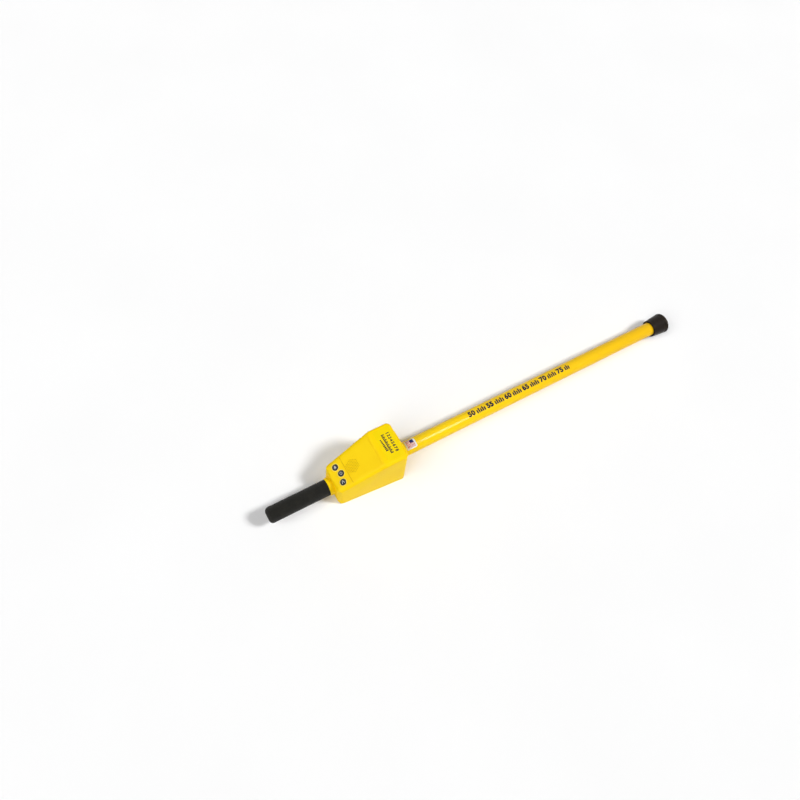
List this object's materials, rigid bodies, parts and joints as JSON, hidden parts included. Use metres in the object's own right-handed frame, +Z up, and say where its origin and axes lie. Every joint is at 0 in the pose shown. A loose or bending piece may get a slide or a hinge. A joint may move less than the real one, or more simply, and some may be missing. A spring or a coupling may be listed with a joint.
{
  "type": "magnetic locator",
  "caption": "Hand-held magnetic locator: wedge-shaped control housing with push buttons and speaker grille, foam-covered handle and long tubular sensor staff with a flared rubber tip.",
  "frame": {"origin": "middle of the overall length and width, on the plane of the housing's flat underside", "axes": "+X along the staff from the grip to the rubber tip, +Z up out of the control housing's top, +Y to the left of a person who holds the grip and points the staff away"},
  "size_m": [1.08, 0.0962, 0.1141],
  "materials": {
    "yellow_coat": "yellow powder coat on a thin aluminium tube",
    "yellow_plastic": "satin moulded plastic",
    "label_film": "smooth printed film",
    "boot_rubber": "semi-gloss moulded rubber",
    "grip_foam": "closed-cell foam rubber",
    "button_rubber": "moulded keypad rubber",
    "seal_rubber": "seal rubber",
    "dark_plastic": "matt moulded plastic",
    "ivory_plastic": "matt moulded plastic",
    "circuit_board": "solder mask on glass laminate",
    "copper_wire": "enamelled copper and plated brass",
    "bare_aluminium": "drawn tube, as machined",
    "screw_steel": "plated steel",
    "battery_case": "printed steel jacket"
  },
  "bodies": {
    "locator": {"staff_tube": "yellow_coat", "tip_boot": "boot_rubber", "tip_plug": "ivory_plastic", "tip_seal": "seal_rubber", "sensor_board": "circuit_board", "board_spacers": "ivory_plastic", "lower_bobbin": "ivory_plastic", "lower_winding": "copper_wire", "upper_bobbin": "ivory_plastic", "upper_winding": "copper_wire", "housing_shell": "yellow_plastic", "bottom_cover": "yellow_plastic", "cover_gasket": "seal_rubber", "cover_screws": "screw_steel", "tube_socket": "dark_plastic", "tube_seal": "seal_rubber", "handle_collar": "yellow_plastic", "handle_core": "bare_aluminium", "handle_nut": "bare_aluminium", "core_plug": "dark_plastic", "hand_grip": "grip_foam", "keypad_board": "circuit_board", "tact_switches": "dark_plastic", "keypad_screws": "screw_steel", "speaker_gasket": "seal_rubber", "speaker_frame": "screw_steel", "speaker_cone": "dark_plastic", "speaker_magnet": "screw_steel", "main_board": "circuit_board", "board_parts": "dark_plastic", "edge_connector": "dark_plastic", "board_screws": "screw_steel", "battery_box": "dark_plastic", "battery_left": "battery_case", "battery_right": "battery_case", "battery_contacts": "copper_wire", "door_hinge_pin": "screw_steel", "label_plate": "label_film"},
    "volume_button": {"button_volume": "button_rubber"},
    "power_button": {"button_power": "button_rubber"},
    "gain_button": {"button_gain": "button_rubber"},
    "door": {"battery_door": "yellow_plastic"},
    "door_knob": {"door_screw": "screw_steel"}
  },
  "joints": [
    {"name": "volume_press", "type": "slide", "parent": "locator", "child": "volume_button", "axis": [0.4444, 0, -0.8958], "range_m": [0, 0.0008], "stiffness_N_per_m": 800},
    {"name": "power_press", "type": "slide", "parent": "locator", "child": "power_button", "axis": [0.4444, 0, -0.8958], "range_m": [0, 0.0008], "stiffness_N_per_m": 800},
    {"name": "gain_press", "type": "slide", "parent": "locator", "child": "gain_button", "axis": [0.4444, 0, -0.8958], "range_m": [0, 0.0008], "stiffness_N_per_m": 800},
    {"name": "door_swing", "type": "hinge", "parent": "locator", "child": "door", "pos_m": [-0.2318, 0, 0.0919], "axis": [0, -1, 0], "range_deg": [0, 110]},
    {"name": "knob_turn", "type": "hinge", "parent": "door", "child": "door_knob", "pos_m": [-0.2318, 0, 0.0607], "axis": [1, 0, 0], "range_deg": [0, 90]}
  ]
}
